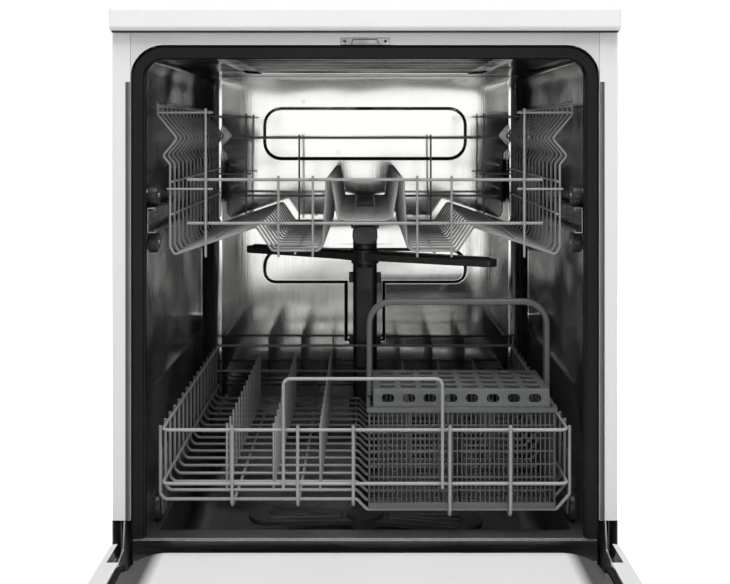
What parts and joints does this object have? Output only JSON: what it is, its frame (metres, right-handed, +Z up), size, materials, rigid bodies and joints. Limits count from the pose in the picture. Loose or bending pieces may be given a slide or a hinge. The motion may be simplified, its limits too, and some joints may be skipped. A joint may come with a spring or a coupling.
{
  "type": "freestanding dishwasher",
  "caption": "Freestanding dishwasher with a drop-down door, two sliding wire racks, spray arms, a cutlery basket and a stainless tub.",
  "frame": {"origin": "on the floor, at the centre of the four feet", "axes": "+Z up, front faces -Y with the open door, +X to the right seen from the front"},
  "size_m": [0.6, 1.195, 0.85],
  "materials": {
    "white_enamel": "smooth baked white paint",
    "white_laminate": "white laminate",
    "white_plastic": "white moulded plastic",
    "frame_enamel": "light grey paint",
    "zinc_sheet": "galvanised sheet",
    "stainless": "bright stainless sheet",
    "seal_rubber": "black rubber",
    "black_plastic": "black moulded plastic",
    "wheel_plastic": "black acetal",
    "motor_black": "dark moulded housing",
    "cream_plastic": "cream moulded plastic",
    "grey_fitting": "dark grey plastic",
    "arm_black": "black moulded plastic",
    "arm_grey": "dark grey moulded plastic",
    "dispenser_plastic": "dark grey moulded plastic",
    "rinse_blue": "blue grey plastic",
    "button_plastic": "light grey plastic",
    "window_gloss": "dark glossy window",
    "wire_coating": "light grey coating on steel wire",
    "bracket_grey": "grey moulded plastic",
    "basket_grey": "grey moulded plastic",
    "filter_grey": "grey moulded plastic"
  },
  "bodies": {
    "cabinet": {"worktop": "white_laminate", "left_side_panel": "white_enamel", "right_side_panel": "white_enamel", "rear_panel": "zinc_sheet", "front_frame": "frame_enamel", "latch_striker": "zinc_sheet", "tub": "stainless", "tub_seal": "seal_rubber", "base_tray": "black_plastic", "feet": "black_plastic", "plinth": "frame_enamel", "sump": "black_plastic", "filter_plate": "stainless", "circulation_pump": "motor_black", "drain_pump": "motor_black", "softener": "cream_plastic", "air_break_chamber": "cream_plastic", "inlet_valve": "cream_plastic", "drain_spigot": "grey_fitting", "terminal_box": "black_plastic", "feed_tube": "black_plastic", "hinge_brackets": "zinc_sheet", "roller_pins": "zinc_sheet"},
    "filter": {"filter_cup": "filter_grey"},
    "salt_cap": {"salt_cap": "white_plastic"},
    "lower_arm": {"lower_spray_arm": "arm_grey"},
    "rails": {"upper_rails": "zinc_sheet"},
    "top_rollers": {"top_rollers": "wheel_plastic"},
    "bottom_rollers": {"bottom_rollers": "wheel_plastic"},
    "door": {"door_outer_panel": "white_enamel", "door_inner_panel": "stainless", "door_side_seals": "seal_rubber", "control_panel": "white_plastic", "hinge_arms": "zinc_sheet", "door_latch": "black_plastic", "dispenser": "dispenser_plastic", "display_window": "window_gloss"},
    "dispenser_lid": {"dispenser_lid": "dispenser_plastic"},
    "rinse_cap": {"rinse_aid_cap": "rinse_blue"},
    "power_button": {"power_button": "button_plastic"},
    "programme_button": {"programme_button": "button_plastic"},
    "option_button": {"option_button": "button_plastic"},
    "start_button": {"start_button": "button_plastic"},
    "upper_rack": {"upper_side_wires": "wire_coating", "upper_floor_wires": "wire_coating", "upper_end_wires": "wire_coating", "upper_wheel_brackets": "bracket_grey", "upper_feed_duct": "black_plastic"},
    "upper_front_wheels": {"upper_front_wheels": "wheel_plastic"},
    "upper_rear_wheels": {"upper_rear_wheels": "wheel_plastic"},
    "upper_arm": {"upper_spray_arm": "arm_black"},
    "lower_rack": {"lower_side_wires": "wire_coating", "lower_floor_wires": "wire_coating", "lower_end_wires": "wire_coating", "lower_wheel_carriers": "bracket_grey", "basket_body": "basket_grey", "basket_handle": "basket_grey"},
    "lower_front_wheels": {"lower_front_wheels": "wheel_plastic"},
    "lower_rear_wheels": {"lower_rear_wheels": "wheel_plastic"},
    "basket_lid": {"basket_lid": "basket_grey"}
  },
  "joints": [
    {"name": "door_hinge", "type": "hinge", "parent": "cabinet", "child": "door", "pos_m": [0, -0.32, 0.195], "axis": [1, 0, 0], "range_deg": [-90, 0]},
    {"name": "upper_rack_slide", "type": "slide", "parent": "cabinet", "child": "upper_rack", "axis": [0, -1, 0], "range_m": [0, 0.45]},
    {"name": "rail_slide", "type": "slide", "parent": "cabinet", "child": "rails", "axis": [0, -1, 0], "range_m": [0, 0.225]},
    {"name": "top_roller_turn", "type": "hinge", "parent": "cabinet", "child": "top_rollers", "pos_m": [0, -0.26, 0.624], "axis": [1, 0, 0], "range_deg": [-1030, 0]},
    {"name": "bottom_roller_turn", "type": "hinge", "parent": "cabinet", "child": "bottom_rollers", "pos_m": [0, -0.26, 0.567], "axis": [1, 0, 0], "range_deg": [0, 1030]},
    {"name": "upper_front_wheel_turn", "type": "hinge", "parent": "upper_rack", "child": "upper_front_wheels", "pos_m": [0, -0.04, 0.5955], "axis": [1, 0, 0], "range_deg": [0, 960]},
    {"name": "upper_rear_wheel_turn", "type": "hinge", "parent": "upper_rack", "child": "upper_rear_wheels", "pos_m": [0, 0.119, 0.5955], "axis": [1, 0, 0], "range_deg": [0, 960]},
    {"name": "lower_rack_slide", "type": "slide", "parent": "cabinet", "child": "lower_rack", "axis": [0, -1, 0], "range_m": [0, 0.45]},
    {"name": "lower_front_wheel_turn", "type": "hinge", "parent": "lower_rack", "child": "lower_front_wheels", "pos_m": [0, -0.235, 0.2363], "axis": [1, 0, 0], "range_deg": [0, 1530]},
    {"name": "lower_rear_wheel_turn", "type": "hinge", "parent": "lower_rack", "child": "lower_rear_wheels", "pos_m": [0, 0.095, 0.2363], "axis": [1, 0, 0], "range_deg": [0, 1530]},
    {"name": "lower_arm_spin", "type": "hinge", "parent": "cabinet", "child": "lower_arm", "pos_m": [0, -0.035, 0.141], "axis": [0, 0, 1], "continuous": true},
    {"name": "upper_arm_spin", "type": "hinge", "parent": "upper_rack", "child": "upper_arm", "pos_m": [0, -0.035, 0.521], "axis": [0, 0, 1], "continuous": true},
    {"name": "filter_twist", "type": "hinge", "parent": "cabinet", "child": "filter", "pos_m": [0, -0.145, 0.127], "axis": [0, 0, 1], "range_deg": [0, 90]},
    {"name": "salt_cap_turn", "type": "hinge", "parent": "cabinet", "child": "salt_cap", "pos_m": [-0.185, -0.175, 0.128], "axis": [0, 0, 1], "range_deg": [0, 180]},
    {"name": "dispenser_lid_slide", "type": "slide", "parent": "door", "child": "dispenser_lid", "axis": [1, 0, 0], "range_m": [0, 0.074]},
    {"name": "rinse_cap_turn", "type": "hinge", "parent": "door", "child": "rinse_cap", "pos_m": [0.015, -0.6575, 0.225], "axis": [0, 0, 1], "range_deg": [0, 90]},
    {"name": "basket_lid_hinge", "type": "hinge", "parent": "lower_rack", "child": "basket_lid", "pos_m": [0.116, -0.183, 0.3723], "axis": [-1, 0, 0], "range_deg": [0, 90]},
    {"name": "power_button_press", "type": "slide", "parent": "door", "child": "power_button", "axis": [0, 0, 1], "range_m": [0, 0.002], "stiffness_N_per_m": 400},
    {"name": "programme_button_press", "type": "slide", "parent": "door", "child": "programme_button", "axis": [0, 0, 1], "range_m": [0, 0.002], "stiffness_N_per_m": 400},
    {"name": "option_button_press", "type": "slide", "parent": "door", "child": "option_button", "axis": [0, 0, 1], "range_m": [0, 0.002], "stiffness_N_per_m": 400},
    {"name": "start_button_press", "type": "slide", "parent": "door", "child": "start_button", "axis": [0, 0, 1], "range_m": [0, 0.002], "stiffness_N_per_m": 400}
  ],
  "couplings": [
    {"joint": "rail_slide", "follows": "upper_rack_slide", "ratio": 0.5},
    {"joint": "top_roller_turn", "follows": "upper_rack_slide", "rad_per_m": -39.37},
    {"joint": "bottom_roller_turn", "follows": "upper_rack_slide", "rad_per_m": 39.37},
    {"joint": "upper_front_wheel_turn", "follows": "upper_rack_slide", "rad_per_m": 36.496},
    {"joint": "upper_rear_wheel_turn", "follows": "upper_rack_slide", "rad_per_m": 36.496},
    {"joint": "lower_front_wheel_turn", "follows": "lower_rack_slide", "rad_per_m": 58.824},
    {"joint": "lower_rear_wheel_turn", "follows": "lower_rack_slide", "rad_per_m": 58.824}
  ]
}
